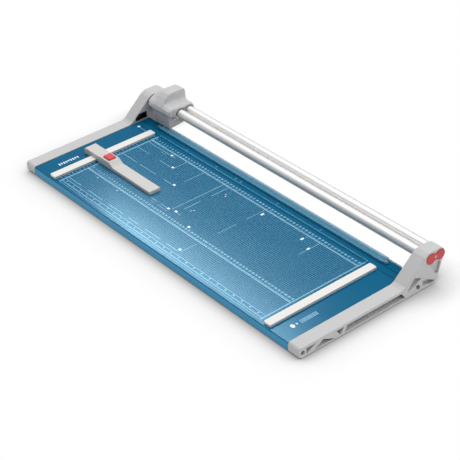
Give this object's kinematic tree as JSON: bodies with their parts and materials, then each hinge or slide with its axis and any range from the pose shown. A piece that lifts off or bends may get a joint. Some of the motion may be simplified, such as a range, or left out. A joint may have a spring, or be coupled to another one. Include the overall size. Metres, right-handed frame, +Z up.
{
  "type": "rotary paper trimmer",
  "caption": "Table-top rotary paper trimmer: gridded flat table between end frames, cutter head sliding on twin guide tubes, clear clamp strip and an adjustable backstop with push button.",
  "frame": {"origin": "on the resting plane, under the middle of the object's length and depth", "axes": "+X along the guide tubes from the backstop end to the far end, +Y to the rear where the tubes are, +Z up"},
  "size_m": [0.943, 0.39, 0.105],
  "materials": {
    "table_paint": "satin powder coat",
    "frame_grey": "satin light-grey coating",
    "head_grey": "fine satin texture",
    "tube_steel": "polished",
    "cap_red": "smooth",
    "button_red": "smooth",
    "blade_steel": "ground",
    "screw_steel": "bright zinc",
    "spring_steel": "drawn wire",
    "clip_steel": "dark passivated",
    "bar_white": "satin",
    "stop_grey": "fine satin texture",
    "strip_clear": "clear, slightly blue",
    "foot_rubber": "matt",
    "roller_rubber": "matt",
    "hub_black": "satin",
    "bush_nylon": "natural nylon",
    "carriage_aluminium": "die-cast"
  },
  "bodies": {
    "base": {"table_board": "table_paint", "left_end_frame": "frame_grey", "right_end_frame": "frame_grey", "front_guide_tube": "tube_steel", "rear_guide_tube": "tube_steel", "left_end_cap": "cap_red", "right_end_cap": "cap_red", "end_cap_screws": "screw_steel", "frame_screws": "screw_steel", "lower_blade": "blade_steel", "lower_blade_screws": "screw_steel", "left_scale_bar": "bar_white", "right_scale_bar": "bar_white", "scale_bar_screws": "screw_steel", "clamp_guide_screws": "screw_steel", "clamp_springs": "spring_steel", "rubber_feet": "foot_rubber"},
    "clamp": {"clamp_strip": "strip_clear", "clamp_end_clips": "strip_clear"},
    "cutter_head": {"head_cover": "head_grey", "head_front_guard": "head_grey", "head_carriage": "carriage_aluminium", "front_tube_bushes": "bush_nylon", "rear_tube_bushes": "bush_nylon", "blade_axle": "screw_steel", "blade_spring": "spring_steel", "roller_axles": "screw_steel", "head_screws": "screw_steel", "guard_screws": "screw_steel"},
    "blade": {"cutter_blade": "blade_steel", "blade_hub": "hub_black"},
    "left_roller": {"left_press_roller": "roller_rubber"},
    "right_roller": {"right_press_roller": "roller_rubber"},
    "backstop": {"backstop_body": "stop_grey", "backstop_base_plate": "clip_steel", "backstop_base_screws": "screw_steel", "lever_pin": "screw_steel", "lever_spring": "spring_steel", "button_spring": "spring_steel"},
    "button": {"backstop_button": "button_red"},
    "brake": {"brake_lever": "hub_black"}
  },
  "joints": [
    {"name": "head_slide", "type": "slide", "parent": "base", "child": "cutter_head", "axis": [1, 0, 0], "range_m": [0, 0.772]},
    {"name": "blade_spin", "type": "hinge", "parent": "cutter_head", "child": "blade", "pos_m": [-0.378, 0.1366, 0.044], "axis": [0, 1, 0], "continuous": true},
    {"name": "left_roller_spin", "type": "hinge", "parent": "cutter_head", "child": "left_roller", "pos_m": [-0.39, 0.1315, 0.03225], "axis": [0, 1, 0], "continuous": true},
    {"name": "right_roller_spin", "type": "hinge", "parent": "cutter_head", "child": "right_roller", "pos_m": [-0.366, 0.1315, 0.03225], "axis": [0, 1, 0], "continuous": true},
    {"name": "clamp_press", "type": "slide", "parent": "base", "child": "clamp", "axis": [0, 0, -1], "range_m": [0, 0.0019], "stiffness_N_per_m": 400, "deforming": ["clamp_springs"]},
    {"name": "backstop_slide", "type": "slide", "parent": "base", "child": "backstop", "axis": [0, 1, 0], "range_m": [-0.11, 0.132]},
    {"name": "button_press", "type": "slide", "parent": "backstop", "child": "button", "axis": [0, 0, -1], "range_m": [0, 0.002], "stiffness_N_per_m": 900, "deforming": ["button_spring"]},
    {"name": "brake_rock", "type": "hinge", "parent": "backstop", "child": "brake", "pos_m": [-0.352, -0.0605, 0.031], "axis": [0, 1, 0], "range_deg": [0, 6.6]}
  ],
  "couplings": [
    {"joint": "blade_spin", "follows": "head_slide", "rad_per_m": 44.444},
    {"joint": "left_roller_spin", "follows": "head_slide", "rad_per_m": 250},
    {"joint": "right_roller_spin", "follows": "head_slide", "rad_per_m": 250},
    {"joint": "brake_rock", "follows": "button_press", "rad_per_m": 55.556}
  ]
}
